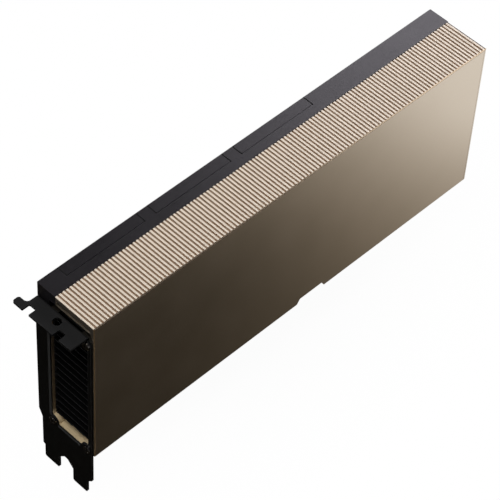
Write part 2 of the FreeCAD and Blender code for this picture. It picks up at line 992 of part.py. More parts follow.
def power_socket():
    """Eight-way socket on the board, its mouth at the far end, with a latch ramp on the front."""
    x_mouth = x_far - socket_recess
    body = block((x_socket, x_mouth), (y_socket_front, y_board_front), (z_socket_low, z_socket_top))
    middle = (z_socket_low + z_socket_top) / 2
    y_latch = y_socket_front - socket_latch
    ramp = prism_z(
        [
            (x_mouth - latch_start, y_socket_front + 0.5, 0),
            (x_mouth - latch_start, y_latch, 0),
            (x_mouth - latch_start + latch_flat, y_latch, 0),
            (x_mouth - latch_end, y_socket_front + 0.5, 0),
        ],
        middle - latch_width / 2,
        middle + latch_width / 2,
    )
    cavities = []
    for y, z in cavity_places():
        half = socket_cavity / 2
        cavities.append(
            block((x_mouth - socket_cavity_depth, x_mouth + 1), (y - half, y + half), (z - half, z + half))
        )
    return joined([body, ramp]).cut(cavities)


def cavity_places():
    """Middles of the socket's cavities."""
    y_middle = y_board_front - socket_thickness / 2
    z_middle = (z_socket_low + z_socket_top) / 2
    return [
        (
            y_middle + (row - (socket_rows - 1) / 2) * socket_pitch,
            z_middle + (column - (socket_columns - 1) / 2) * socket_pitch,
        )
        for row in range(socket_rows)
        for column in range(socket_columns)
    ]


def power_pins():
    """Square pins that stand on the floor of each cavity."""
    start = x_far - socket_recess - socket_cavity_depth
    half = pin_size / 2
    return Part.makeCompound(
        [
            block((start, start + pin_length), (y - half, y + half), (z - half, z + half))
            for y, z in cavity_places()
        ]
    )


def spring_plate():
    """Crossed spring sheet behind the board that pulls the cooler onto the processor."""
    reach = cooler_screw_offset * math.sqrt(2) + spring_arm_width / 2
    middle = vector(x_package, y_board_rear, z_package)
    half = spring_arm_width / 2
    arms = []
    for angle in (45, -45):
        arm = prism_y(
            [(-reach, -half, 0), (reach, -half, 0), (reach, half, 0), (-reach, half, 0)],
            0,
            spring_sheet,
        )
        arm.Placement = FreeCAD.Placement(middle, FreeCAD.Rotation(vector(0, 1, 0), angle))
        arms.append(arm)
    end = y_board_rear + spring_sheet + 1
    z_tip = z_top - bridge_skirt - joint_gap
    trim = block((x_package - reach, x_package + reach), (y_board_rear, end), (2 * z_package - z_tip, z_tip))
    plate = joined(arms).common(trim)
    return plate.cut(studs_in_y(cooler_points, cooler_hole_radius, y_board_rear - 1, end))


def insulating_film():
    """Thin film on the inside of the rear cover, between its two rows of screws."""
    low, high = sorted(z for x, z in cooler_points)[::3]
    return block(
        (x_near + cover_wall + film_margin, x_far - cover_wall - film_margin),
        (y_cover_in - film_thickness, y_cover_in),
        (low + spring_arm_width, high - spring_arm_width),
    )


def tab_outline():
    """Outline of the folded tab in X and Y: ear, two screw notches and square front corner."""
    x_out = x_near - tab_depth
    x_in = x_face - bend_radius
    y_side = y_rear - tab_side
    y_end = y_front + tab_reveal
    corners = [
        (x_in, y_side, 0),
        (x_out + ear_width, y_side, ear_fillet),
        (x_out + ear_width, y_rear + ear_reach, ear_corner),
        (x_out, y_rear + ear_reach, ear_corner),
    ]
    for number in (0, 1):
        middle = y_rear - screw_notch_side - number * slot_pitch
        half = screw_notch_width / 2
        corners.append((x_out, middle + half, 0))
        corners.append((x_out + screw_notch_depth, middle + half, screw_notch_corner))
        corners.append((x_out + screw_notch_depth, middle - half, screw_notch_corner))
        corners.append((x_out, middle - half, 0))
    corners.append((x_out, y_end, 0))
    corners.append((x_in, y_end, 0))
    return corners


def face_outline():
    """Outline of the bracket's face in Y and Z, down to its two foot tongues."""
    y_side = y_rear - tab_side
    y_end = y_front + tab_reveal
    y_edge = y_front + bracket_reveal
    y_waist = y_rear - waist_inset
    z_waist = z_low + waist_start
    z_shoulder = z_foot + foot_tongue_length
    corners = [
        (y_side, z_tab_top, 0),
        (y_side, z_tab_top - shoulder_drop, 0),
        (y_rear, z_tab_top - shoulder_drop - 0.5, 0.4),
        (y_rear, z_waist, foot_corner),
        (y_waist, z_waist - waist_slope, foot_corner),
    ]
    first_side = y_rear - foot_tongue_side
    corners.append((y_waist, z_shoulder + first_side - y_waist + foot_slope / 2, 0))
    for number in (0, 1):
        side = first_side - number * slot_pitch
        end = side - foot_tongue_width
        if number > 0:
            corners.append((side + foot_slope, z_shoulder + foot_slope, foot_corner))
        corners.append((side, z_shoulder, 0))
        corners.append((side, z_foot, foot_corner))
        corners.append((end, z_foot, foot_corner))
        corners.append((end, z_shoulder, 0))
        if number == 0:
            corners.append((end - foot_slope, z_shoulder + foot_slope, foot_corner))
    last_end = first_side - slot_pitch - foot_tongue_width
    corners.append((y_edge, z_shoulder + last_end - y_edge, 0))
    corners.append((y_edge, z_tab_top - shoulder_drop - shoulder_slope, 0))
    corners.append((y_end, z_tab_top - shoulder_drop, 0))
    corners.append((y_end, z_tab_top, 0))
    return corners


def mounting_bracket():
    """Black steel sheet: the face with the air window, and the tab folded outwards at its top."""
    inner = bend_radius
    outer = bend_radius + bracket_sheet
    x_out = x_near - tab_depth
    fold = [
        (x_near, z_foot - 1, 0),
        (x_near, z_tab_top, outer),
        (x_out - 1, z_tab_top, 0),
        (x_out - 1, z_tab_low, 0),
        (x_face, z_tab_low, inner),
        (x_face, z_foot - 1, 0),
    ]
    sheet = prism_y(fold, y_front - 1, y_rear + ear_reach + 1)
    x_fold = x_face - bend_radius
    tab_tool = prism_z(tab_outline(), z_tab_low - 1, z_tab_top + 1)
    face_tool = prism_x(face_outline(), x_fold, x_near)
    bracket = joined([sheet.common(tab_tool), sheet.common(face_tool)])
    y_end = y_front + tab_reveal
    tab_edge = prism_x(
        [
            (y_end - 1, z_tab_top - tab_bevel, 0),
            (y_end, z_tab_top - tab_bevel, 0),
            (y_end + tab_bevel, z_tab_top, 0),
            (y_end + tab_bevel, z_tab_top + 1, 0),
            (y_end - 1, z_tab_top + 1, 0),
        ],
        x_out - 1,
        x_face - bend_radius,
    )
    window_tool = block(
        (x_fold - 1, x_near + 1),
        (y_window_front, y_window_side),
        (z_window_low, z_window_high),
    )
    lobes = corner_bosses(
        window_bosses_y,
        window_bosses_z,
        boss_radius,
        x_fold - 2,
        x_near + 2,
        (y_window_side + 1, y_window_front - 1),
        (z_window_low - 1, z_window_high + 1),
    )
    window_tool = window_tool.cut(lobes)
    side_bevel = prism_z(
        [
            (x_face, y_window_side + window_bevel, 0),
            (x_face - 1, y_window_side + window_bevel, 0),
            (x_face - 1, y_window_side - 0.5, 0),
            (x_face + window_bevel_depth, y_window_side - 0.5, 0),
            (x_face + window_bevel_depth, y_window_side, 0),
        ],
        z_window_low + boss_radius,
        z_window_high - boss_radius,
    )
    low_bevel = prism_y(
        [
            (x_face, z_window_low - window_low_bevel, 0),
            (x_face - 1, z_window_low - window_low_bevel, 0),
            (x_face - 1, z_window_low + 0.5, 0),
            (x_face + window_bevel_depth, z_window_low + 0.5, 0),
            (x_face + window_bevel_depth, z_window_low, 0),
        ],
        window_bosses_y[1] + boss_radius,
        window_bosses_y[0] - boss_radius,
    )
    x_hole = x_near - tab_hole_in
    centre = vector(x_hole, y_rear - tab_hole_side, z_tab_low - 1)
    hole = rod(centre, tab_hole_radius, bracket_sheet + 2, vector(0, 0, 1))
    screw_holes = [
        stud(vector(x_fold - 1, y, z), bracket_hole_radius, bracket_sheet + 3, vector(1, 0, 0))
        for y in duct_screws_y
        for z in duct_screws_z
    ]
    return bracket.cut([window_tool, side_bevel, low_bevel, tab_edge, hole] + screw_holes)


def bracket_screws():
    """Four screws at the window's corners, into the exhaust collar."""
    outwards = vector(-1, 0, 0)
    screws = []
    for y in duct_screws_y:
        for z in duct_screws_z:
            seat = vector(x_face, y, z)
            head = rod(seat, bracket_head_radius, bracket_head_height, outwards)
            screws.append(screw(head, seat, outwards, bracket_screw_radius, bracket_screw_length))
    return Part.makeCompound(screws)


def cover_screws():
    """Flush screws through the rear cover and the board into the cooler's posts."""
    outwards = vector(0, 1, 0)
    y_seat = y_rear - cover_head_depth
    length = y_seat - y_base_rear - joint_gap
    screws = []
    for x, z in cover_points:
        seat = vector(x, y_seat, z)
        head = rod(seat, cover_head_radius, cover_head_depth, outwards)
        screws.append(screw(head, seat, outwards, cover_screw_radius, length))
    return Part.makeCompound(screws)


def cooler_screws():
    """Hexagon screws through the spring plate and the board into the cooler's corner posts."""
    outwards = vector(0, 1, 0)
    y_seat = y_board_rear + spring_sheet
    length = y_seat - y_base_rear - joint_gap
    screws = []
    for x, z in cooler_points:
        seat = vector(x, y_seat, z)
        head = stud(seat, cooler_head_radius, cooler_head_height, outwards, 6)
        screws.append(screw(head, seat, outwards, cooler_screw_radius, length))
    return Part.makeCompound(screws)


def shroud_screws():
    """Low screws under the bottom wall, into the lugs of the rings and the cooler base."""
    downwards = vector(0, 0, -1)
    screws = []
    for x in shroud_screws_x:
        seat = vector(x, y_lug_screw, z_low)
        head = rod(seat, shroud_head_radius, shroud_head_height, downwards)
        screws.append(screw(head, seat, downwards, shroud_screw_radius, shroud_screw_length))
    return Part.makeCompound(screws)


nodes = {
    "shroud": shroud(),
    "rear_cover": rear_cover(),
    "circuit_board": circuit_board(),
    "edge_contacts": edge_contacts(),
    "mounting_bracket": mounting_bracket(),
    "bracket_screws": bracket_screws(),
    "exhaust_collar": exhaust_collar(),
    "intake_frame": intake_frame(),
    "cooler_base": cooler_base(),
    "vapour_chamber": vapour_chamber(),
    "cooling_fins": cooling_fins(),
    "package_substrate": substrate(),
    "package_stiffener": package_stiffener(),
    "processor_die": die_layer(y_board_front - substrate_thickness, y_package_front + paste_thickness),
    "memory_stacks": Part.makeCompound(
        stack_layer(y_board_front - substrate_thickness, y_package_front + paste_thickness)
    ),
    "thermal_paste": Part.makeCompound(
        [die_layer(y_package_front + paste_thickness, y_package_front)]
        + stack_layer(y_package_front + paste_thickness, y_package_front)
    ),
    "power_inductors": power_inductors(),
    "power_stages": power_stages(),
    "inductor_pads": pad_strips(
        inductor_columns(), inductor_width, inductor_height, y_inductor_front, y_base_rear
    ),
    "stage_pads": pad_strips(
        stage_columns(), stage_width, stage_height, y_stage_front, y_base_rear + pedestal_height
    ),
    "output_capacitors": output_capacitors(),
    "input_capacitors": input_capacitors(),
    "control_chips": control_chips(),
    "power_socket": power_socket(),
    "power_pins": power_pins(),
    "spring_plate": spring_plate(),
    "insulating_film": insulating_film(),
    "cover_screws": cover_screws(),
    "cooler_screws": cooler_screws(),
    "shroud_screws": shroud_screws(),
}
for number, start in enumerate(bridge_starts):
    nodes["bridge_cover_%d" % (number + 1)] = bridge_cover(start)

os.makedirs("parts", exist_ok=True)
for name, shape in nodes.items():
    shape.exportStep("parts/%s.step" % name)
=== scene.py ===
import bpy
import bmesh
import math
import random
from mathutils import Matrix, Vector


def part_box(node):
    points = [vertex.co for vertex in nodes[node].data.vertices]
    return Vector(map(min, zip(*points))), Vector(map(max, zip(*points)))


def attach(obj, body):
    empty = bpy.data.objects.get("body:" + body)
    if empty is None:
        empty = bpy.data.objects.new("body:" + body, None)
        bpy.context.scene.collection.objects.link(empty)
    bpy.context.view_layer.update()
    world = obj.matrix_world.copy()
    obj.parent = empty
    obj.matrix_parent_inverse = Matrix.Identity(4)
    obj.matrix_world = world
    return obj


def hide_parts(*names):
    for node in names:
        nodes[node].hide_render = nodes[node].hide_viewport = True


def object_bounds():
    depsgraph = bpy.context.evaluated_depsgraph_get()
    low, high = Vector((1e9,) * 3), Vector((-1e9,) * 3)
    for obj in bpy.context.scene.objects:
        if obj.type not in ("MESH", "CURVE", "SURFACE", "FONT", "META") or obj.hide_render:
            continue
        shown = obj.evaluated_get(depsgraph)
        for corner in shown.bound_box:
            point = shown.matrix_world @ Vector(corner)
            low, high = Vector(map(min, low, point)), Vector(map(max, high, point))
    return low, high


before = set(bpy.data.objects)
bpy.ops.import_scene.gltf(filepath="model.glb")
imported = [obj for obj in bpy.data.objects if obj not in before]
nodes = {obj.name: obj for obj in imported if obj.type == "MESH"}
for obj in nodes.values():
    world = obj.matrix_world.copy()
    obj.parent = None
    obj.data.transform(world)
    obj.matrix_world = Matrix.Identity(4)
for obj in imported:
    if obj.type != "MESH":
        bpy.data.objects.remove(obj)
cad_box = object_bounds()

# The view: a long lens that looks down on the bracket end and the ribbed top, from the front.
# The place, the turn and the lens come from the card's own known sizes in the picture.
view_azimuth = math.radians(-47.918)
view_elevation = math.radians(49.189)
view_roll = math.radians(3.971)
view_place = (-0.50275, -0.52895, 0.94035)
view_back = Vector(
    (
        math.sin(view_azimuth) * math.cos(view_elevation),
        -math.cos(view_azimuth) * math.cos(view_elevation),
        math.sin(view_elevation),
    )
)
level_right = Vector((math.cos(view_azimuth), math.sin(view_azimuth), 0))
level_up = view_back.cross(level_right)
view_right = level_right * math.cos(view_roll) + level_up * math.sin(view_roll)
view_up = level_up * math.cos(view_roll) - level_right * math.sin(view_roll)
camera_data = bpy.data.cameras.new("view")
camera_data.lens = 170.927
camera_data.sensor_width = 36
camera_data.clip_start = 0.05
camera_data.clip_end = 20
camera = bpy.data.objects.new("view", camera_data)
turn = Matrix((view_right, view_up, view_back)).transposed().to_4x4()
camera.matrix_world = Matrix.Translation(view_place) @ turn
bpy.context.scene.collection.objects.link(camera)
bpy.context.scene.camera = camera
bpy.context.scene.view_settings.view_transform = "Standard"

# The studio: a wide soft panel above the bracket end lights the ribs and reaches the air window.
# One above the far end gives the dark strip its sheen, one in front draws the shroud's top edge,
# and two low ones keep the back and the far end from going black.
middle = Vector((0.077, -0.016, 0.063))


def soft_panel(name, direction, distance, size, power, colour=(1, 1, 1)):
    """Hangs a lamp in one direction from the card's middle, facing it."""
    lamp = bpy.data.lights.new(name, "AREA")
    lamp.shape = "RECTANGLE"
    lamp.size, lamp.size_y = size
    lamp.energy = power
    lamp.color = colour
    panel = bpy.data.objects.new(name, lamp)
    towards = Vector(direction).normalized()
    faced = towards.to_track_quat("Z", "Y").to_matrix().to_4x4()
    panel.matrix_world = Matrix.Translation(middle + towards * distance) @ faced
    bpy.context.scene.collection.objects.link(panel)


soft_panel("near_panel", (-0.28, -0.05, 0.96), 2.2, (1.5, 1.5), 45)
soft_panel("far_panel", (0.68, 0.42, 0.60), 1.3, (0.45, 0.45), 2.8, (1.0, 0.95, 1.04))
soft_panel("edge_panel", (0.66, -0.628, 0.414), 1.32, (0.36, 0.36), 0.5)
soft_panel("back_panel", (0.30, 0.95, 0.08), 1.4, (1.0, 0.6), 7)
soft_panel("end_panel", (0.99, -0.10, 0.04), 1.4, (0.6, 0.5), 2)

# The room: white where it is seen, and otherwise dim, so that the panels alone light the card.
# Gloss mirrors a paler horizon that darkens upwards.
dim = 0.015
horizon_glow = 0.42
horizon_top = 0.3


def add(tree, kind, values=(), **settings):
    """Adds a shader node, makes its settings, and fills or links its inputs."""
    node = tree.nodes.new("ShaderNode" + kind)
    for name, value in settings.items():
        setattr(node, name, value)
    for name, value in dict(values).items():
        if isinstance(value, bpy.types.NodeSocket):
            tree.links.new(value, node.inputs[name])
        else:
            node.inputs[name].default_value = value
    return node


def maths(tree, operation, *terms, clamp=False):
    """The result of a Math node on numbers or sockets."""
    values = dict(enumerate(terms))
    return add(tree, "Math", values, operation=operation, use_clamp=clamp).outputs["Value"]


def ramp(tree, value, start, end, low=0.0, high=1.0):
    """Low up to the start, high from the end on, and even steps between."""
    values = {"Value": value, "From Min": start, "From Max": end, "To Min": low, "To Max": high}
    return add(tree, "MapRange", values).outputs["Result"]


def blend(tree, mask, first, second):
    """The first number where the mask is 0, and the second where it is 1."""
    values = {"Factor": mask, "A": first, "B": second}
    return add(tree, "Mix", values, data_type="FLOAT").outputs["Result"]


def three_axes(tree, kind):
    """X, Y and Z of a coordinate: Object for the place on the card, Normal for the facing."""
    whole = add(tree, "TexCoord").outputs[kind]
    return add(tree, "SeparateXYZ", {"Vector": whole}).outputs


world = bpy.data.worlds.new("studio")
world.use_nodes = True
tree = world.node_tree
path = add(tree, "LightPath").outputs
upward = three_axes(tree, "Generated")["Z"]
horizon = ramp(tree, upward, 0.0, horizon_top, horizon_glow, dim)
mirrored = maths(tree, "ADD", path["Is Glossy Ray"], path["Is Transmission Ray"], clamp=True)
room = blend(tree, mirrored, dim, horizon)
walls = tree.nodes["Background"]
walls.inputs["Color"].default_value = (1, 1, 1, 1)
tree.links.new(blend(tree, path["Is Camera Ray"], room, 1.0), walls.inputs["Strength"])
bpy.context.scene.world = world

# The floor: a plain pale sheet just under the bracket's feet, seen as white, with a faint shadow
# near the card. What the shroud mirrors of it is painted light: a glow that grows brighter along
# the card, as under a lamp at the far end, and swells a little close to the card.
floor_drop = 0.0003
glow_end = 0.4
glow_reach = 0.267
glow_steepness = 3.7
swell_reach = 0.185
swell_steepness = 4.0
swell_start = -0.091
swell_full = -0.064
most_swell = 0.35
least_glow = 0.029
shadow_shape = (0.45, 1.0, 1.0)
shadow_full = 0.02
shadow_end = 0.10
shadow_whiteness = 0.965


def blend_colours(tree, mask, first, second):
    """The first colour where the mask is 0, and the second where it is 1."""
    values = {"Factor": mask}
    for name, colour in (("A", first), ("B", second)):
        values[name] = colour if isinstance(colour, bpy.types.NodeSocket) else (*colour, 1)
    return add(tree, "Mix", values, data_type="RGBA").outputs["Result"]


floor_mesh = bpy.data.meshes.new("floor")
shape = bmesh.new()
bmesh.ops.create_grid(shape, x_segments=1, y_segments=1, size=4)
bmesh.ops.translate(shape, verts=shape.verts, vec=(0, 0, cad_box[0][2] - floor_drop))
shape.to_mesh(floor_mesh)
shape.free()
floor = bpy.data.objects.new("floor", floor_mesh)
bpy.context.scene.collection.objects.link(floor)
floor_paint = bpy.data.materials.new("pale_floor")
floor_paint.use_nodes = True
tree = floor_paint.node_tree
tree.nodes.clear()
path = add(tree, "LightPath").outputs
place = three_axes(tree, "Object")
# Painted light: the glow that gloss sees on the floor rises along the card and close to it.
along = add(tree, "Clamp", {"Value": place["X"], "Max": glow_end}).outputs["Result"]
far_glow = maths(tree, "POWER", maths(tree, "DIVIDE", along, glow_reach), glow_steepness)
fading = maths(tree, "POWER", maths(tree, "DIVIDE", along, swell_reach), swell_steepness)
swell = maths(tree, "MULTIPLY", maths(tree, "SUBTRACT", 1.0, fading), along)
near_card = ramp(tree, place["Y"], swell_start, swell_full, 0.0, most_swell)
side_glow = maths(tree, "MULTIPLY_ADD", swell, near_card, least_glow)
glow = maths(tree, "MINIMUM", maths(tree, "ADD", far_glow, side_glow), 1.0)
warmth = blend_colours(tree, maths(tree, "SQRT", glow), (1.0, 0.80, 0.53), (1.0, 1.0, 1.0))
mirrored = add(tree, "Emission", {"Color": warmth, "Strength": glow}).outputs["Emission"]
spot = add(tree, "TexCoord").outputs["Object"]
below_middle = (middle.x, middle.y, cad_box[0][2])
outward = add(tree, "VectorMath", {0: spot, 1: below_middle}, operation="SUBTRACT")
values = {0: outward.outputs["Vector"], 1: shadow_shape}
squeezed = add(tree, "VectorMath", values, operation="MULTIPLY")
away = add(tree, "VectorMath", {0: squeezed.outputs["Vector"]}, operation="LENGTH")
whiteness = ramp(tree, away.outputs["Value"], shadow_full, shadow_end, shadow_whiteness, 1.0)
seen = maths(tree, "MULTIPLY", path["Is Camera Ray"], whiteness)
paint = add(tree, "BsdfDiffuse", {"Color": (0.8, 0.8, 0.8, 1)}).outputs["BSDF"]
white = add(tree, "Emission", {"Strength": 1.0}).outputs["Emission"]
shown = add(tree, "MixShader", {"Fac": seen, 1: paint, 2: white}).outputs["Shader"]
bounced = maths(tree, "ADD", path["Is Glossy Ray"], path["Is Transmission Ray"], clamp=True)
sheet = add(tree, "MixShader", {"Fac": bounced, 1: shown, 2: mirrored}).outputs["Shader"]
add(tree, "OutputMaterial", {"Surface": sheet})
floor_mesh.materials.append(floor_paint)


# Grain: the fine unevenness that blasting, coating or moulding leaves on every piece.
# One group serves all the finishes; each gives it its own grain size and its own blotches.
def effect_group(name, inputs, outputs):
    """An empty group with sockets for numbers: the group, what comes in and what goes out."""
    group = bpy.data.node_groups.new(name, "ShaderNodeTree")
    for way, labels in (("INPUT", inputs), ("OUTPUT", outputs)):
        for label in labels:
            group.interface.new_socket(label, in_out=way, socket_type="NodeSocketFloat")
    inside = group.nodes.new("NodeGroupInput").outputs
    outside = group.nodes.new("NodeGroupOutput").inputs
    return group, inside, outside


calm_noise = 0.6
strong_noise = 1.4
grain, inside, outside = effect_group(
    "surface_grain",
    ("Grain Scale", "Blotch Scale", "Rough Low", "Rough High"),
    ("Height", "Roughness", "Tone"),
)
spot = add(grain, "TexCoord").outputs["Object"]
fine = add(grain, "TexNoise", {"Vector": spot, "Scale": inside["Grain Scale"], "Detail": 2})
broad = add(grain, "TexNoise", {"Vector": spot, "Scale": inside["Blotch Scale"], "Detail": 3})
both = maths(grain, "ADD", fine.outputs["Fac"], broad.outputs["Fac"])
spread = ramp(grain, both, calm_noise, strong_noise, inside["Rough Low"], inside["Rough High"])
grain.links.new(fine.outputs["Fac"], outside["Height"])
grain.links.new(spread, outside["Roughness"])
grain.links.new(broad.outputs["Fac"], outside["Tone"])


def finish_with_grain(
    name, dark, light, rough, metallic, grain_size, blotch_size, relief, specular=0.5
):
    """A material whose colour, roughness and relief vary with the surface grain."""
    material = bpy.data.materials.new(name)
    material.use_nodes = True
    tree = material.node_tree
    surface = tree.nodes["Principled BSDF"].inputs
    surface["Metallic"].default_value = metallic
    surface["Specular IOR Level"].default_value = specular
    values = {
        "Grain Scale": 1 / grain_size,
        "Blotch Scale": 1 / blotch_size,
        "Rough Low": rough[0],
        "Rough High": rough[1],
    }
    skin = add(tree, "Group", values, node_tree=grain).outputs
    tree.links.new(skin["Roughness"], surface["Roughness"])
    tree.links.new(blend_colours(tree, skin["Tone"], dark, light), surface["Base Color"])
    bump = add(tree, "Bump", {"Height": skin["Height"], "Strength": 1.0, "Distance": relief})
    tree.links.new(bump.outputs["Normal"], surface["Normal"])
    return material


# Rubbed edges: corners lose a little of their coat to handling and show a paler line.
# One group finds them for the sheet steel, the castings and the shroud.
still_flat = 0.985
fully_turned = 0.88
patches_per_metre = 260
bare_patches = (0.35, 0.6)
least_rubbing = 0.25
edges, inside, outside = effect_group("rubbed_edges", ("Width", "Amount"), ("Mask",))
rounded = add(edges, "Bevel", {"Radius": inside["Width"]}, samples=6).outputs["Normal"]
flat = add(edges, "NewGeometry").outputs["True Normal"]
likeness = add(edges, "VectorMath", {0: rounded, 1: flat}, operation="DOT_PRODUCT")
corner = ramp(edges, likeness.outputs["Value"], still_flat, fully_turned)
spot = add(edges, "TexCoord").outputs["Object"]
patchy = add(edges, "TexNoise", {"Vector": spot, "Scale": patches_per_metre}).outputs["Fac"]
broken = ramp(edges, patchy, *bare_patches, least_rubbing)
rubbed = maths(edges, "MULTIPLY", corner, broken)
edges.links.new(maths(edges, "MULTIPLY", rubbed, inside["Amount"]), outside["Mask"])


def overlay(material, mask, value, socket="Base Color"):
    """Changes a finish to another colour, or to another number, where the mask is 1."""
    tree = material.node_tree
    target = tree.nodes["Principled BSDF"].inputs[socket]
    under = target.links[0].from_socket if target.is_linked else target.default_value
    mix = blend_colours if socket == "Base Color" else blend
    tree.links.new(mix(tree, mask, under, value), target)


def rub_edges(material, width, amount, pale):
    """Lays a paler colour over a finish where its edges have been handled."""
    finder = add(material.node_tree, "Group", {"Width": width, "Amount": amount}, node_tree=edges)
    overlay(material, finder.outputs["Mask"], pale)
    return material


# Shroud: blasted and champagne anodised aluminium with milled cross ribs on a hollow beam.
# The grooves keep a darker tone and the ribs' tops a paler, duller one, and painted shade makes
# the last groove, open at the far end, as dark as the others. The near corner and the ridge
# along the top front edge are cut after blasting, and a fine dark line closes the far end.
shroud_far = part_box("shroud")[1].x
shroud_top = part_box("shroud")[1].z
groove_dark_from = shroud_top - 0.0002
groove_dark_full = shroud_top - 0.00055
groove_floor = shroud_top - 0.0007
rib_foot = shroud_top - 0.0008
rib_pale_from = shroud_top - 0.00025
rib_pale_full = shroud_top - 0.00010
end_line = shroud_far - 0.0014
end_line_reach = 0.00022
last_rib = shroud_far - 0.00107
corner_turn = (0.1, 0.3)
ridge_turn = (-0.2, -0.4)
ribbed_metallic = 0.08
corner_metallic = 0.90
ridge_metallic = 0.88
ridge_roughness = 0.21


def wear(node, material):
    """Puts one material on a node of the frame."""
    mesh = nodes[node].data
    mesh.materials.clear()
    mesh.materials.append(material)


champagne = finish_with_grain(
    "champagne_shell",
    dark=(0.655, 0.57, 0.46), light=(0.705, 0.61, 0.50), rough=(0.34, 0.42), metallic=1.0,
    grain_size=0.00035, blotch_size=0.02, relief=0.000012,
)
tree = champagne.node_tree
place = three_axes(tree, "Object")
facing = three_axes(tree, "Normal")
sunk = ramp(tree, place["Z"], groove_dark_full, groove_dark_from, 1.0, 0.0)
above_floor = maths(tree, "GREATER_THAN", place["Z"], groove_floor)
below_ribs = maths(tree, "LESS_THAN", place["Z"], rib_foot)
grooves = maths(tree, "MULTIPLY", sunk, above_floor)
rib_tops = ramp(tree, place["Z"], rib_pale_from, rib_pale_full)
far_line = maths(tree, "COMPARE", place["X"], end_line, end_line_reach)
last_groove_painted_shade = maths(tree, "GREATER_THAN", place["X"], last_rib)
near_corner = ramp(tree, maths(tree, "MULTIPLY", facing["X"], facing["Y"]), *corner_turn)
ridge = ramp(tree, maths(tree, "MULTIPLY", facing["Y"], facing["Z"]), *ridge_turn)
ribs_and_grooves = maths(tree, "ADD", rib_tops, grooves, clamp=True)
overlay(champagne, grooves, (0.235, 0.148, 0.090))
overlay(champagne, rib_tops, (0.765, 0.668, 0.55))
overlay(champagne, maths(tree, "MULTIPLY", far_line, below_ribs), (0.38, 0.30, 0.215))
# Painted shade: the last groove, open at the far end, is made darker than the others.
overlay(champagne, maths(tree, "MULTIPLY", last_groove_painted_shade, grooves), (0.06, 0.042, 0.026))
overlay(champagne, near_corner, (0.70, 0.50, 0.29))
overlay(champagne, ridge, (0.78, 0.60, 0.43))
overlay(champagne, ribs_and_grooves, ribbed_metallic, "Metallic")
overlay(champagne, near_corner, corner_metallic, "Metallic")
overlay(champagne, ridge, ridge_metallic, "Metallic")
overlay(champagne, ridge, ridge_roughness, "Roughness")
wear("shroud", rub_edges(champagne, 0.00025, 0.3, (0.76, 0.65, 0.52)))

# Exhaust collar: a cast champagne ring just behind the bracket, a little coarser than the shroud.
# It lines the air window and takes the bracket's screws in its bosses. Its coat is pale on the
# sill, and painted shade makes it much darker above it.
shade_start = 0.010
shade_end = 0.110
sill_end = 0.112
top_start = 0.86
side_shades = (
    (0.14, (0.24, 0.20, 0.17, 1)),
    (0.6, (0.12, 0.10, 0.09, 1)),
    (0.82, (0.10, 0.08, 0.07, 1)),
)
ring = finish_with_grain(
    "champagne_ring",
    dark=(0.57, 0.445, 0.265), light=(0.645, 0.505, 0.31), rough=(0.42, 0.55), metallic=0.12,
    grain_size=0.0004, blotch_size=0.01, relief=0.00002,
)
tree = ring.node_tree
# Painted shade: a ramp on height keeps the sill pale and darkens the sides and the top.
height = ramp(tree, three_axes(tree, "Object")["Z"], shade_start, shade_end)
painted_shade_ramp = add(tree, "ValToRGB", {"Fac": height})
shades = painted_shade_ramp.color_ramp.elements
shades[0].position = sill_end
shades[0].color = (1, 1, 1, 1)
shades[1].position = top_start
shades[1].color = (0.02, 0.02, 0.02, 1)
for level, shade in side_shades:
    shades.new(level).color = shade
coat = tree.nodes["Principled BSDF"].inputs["Base Color"]
values = {"Factor": 1.0, "A": coat.links[0].from_socket, "B": painted_shade_ramp.outputs["Color"]}
painted_shade_mix = add(tree, "Mix", values, data_type="RGBA", blend_type="MULTIPLY")
tree.links.new(painted_shade_mix.outputs["Result"], coat)
wear("exhaust_collar", ring)

# Rear cover and intake frame: castings with a fine matt black coat.
# The cover's folded top is the plain strip beside the ribs, and the frame closes the far end.
black_casting = finish_with_grain(
    "black_casting",
    dark=(0.0070, 0.0062, 0.0074), light=(0.0105, 0.0092, 0.011), rough=(0.26, 0.33), metallic=0.0,
    grain_size=0.0004, blotch_size=0.03, relief=0.00002,
)
wear("rear_cover", rub_edges(black_casting, 0.0004, 0.6, (0.03, 0.028, 0.03)))
black_ring = finish_with_grain(
    "black_ring",
    dark=(0.010, 0.010, 0.011), light=(0.018, 0.018, 0.018), rough=(0.45, 0.6), metallic=0.0,
    grain_size=0.0004, blotch_size=0.01, relief=0.00002,
)
wear("intake_frame", rub_edges(black_ring, 0.0004, 0.7, (0.05, 0.05, 0.05)))

# Bridge covers: three moulded black caps, snapped over the board's tongues.
# They match the cover's coat but are plastic, so their grain is finer and their gloss lower.
cap_plastic = finish_with_grain(
    "black_cap",
    dark=(0.0070, 0.0062, 0.0074), light=(0.0105, 0.0092, 0.011), rough=(0.265, 0.33), metallic=0.0,
    grain_size=0.0003, blotch_size=0.02, relief=0.000015,
)
first_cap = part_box("bridge_cover_1")
last_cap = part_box("bridge_cover_3")
cap_length = first_cap[1].x - first_cap[0].x
cap_pitch = (last_cap[0].x - first_cap[0].x) / 2
seam_reach = 0.00035
seam_margin = 0.0004


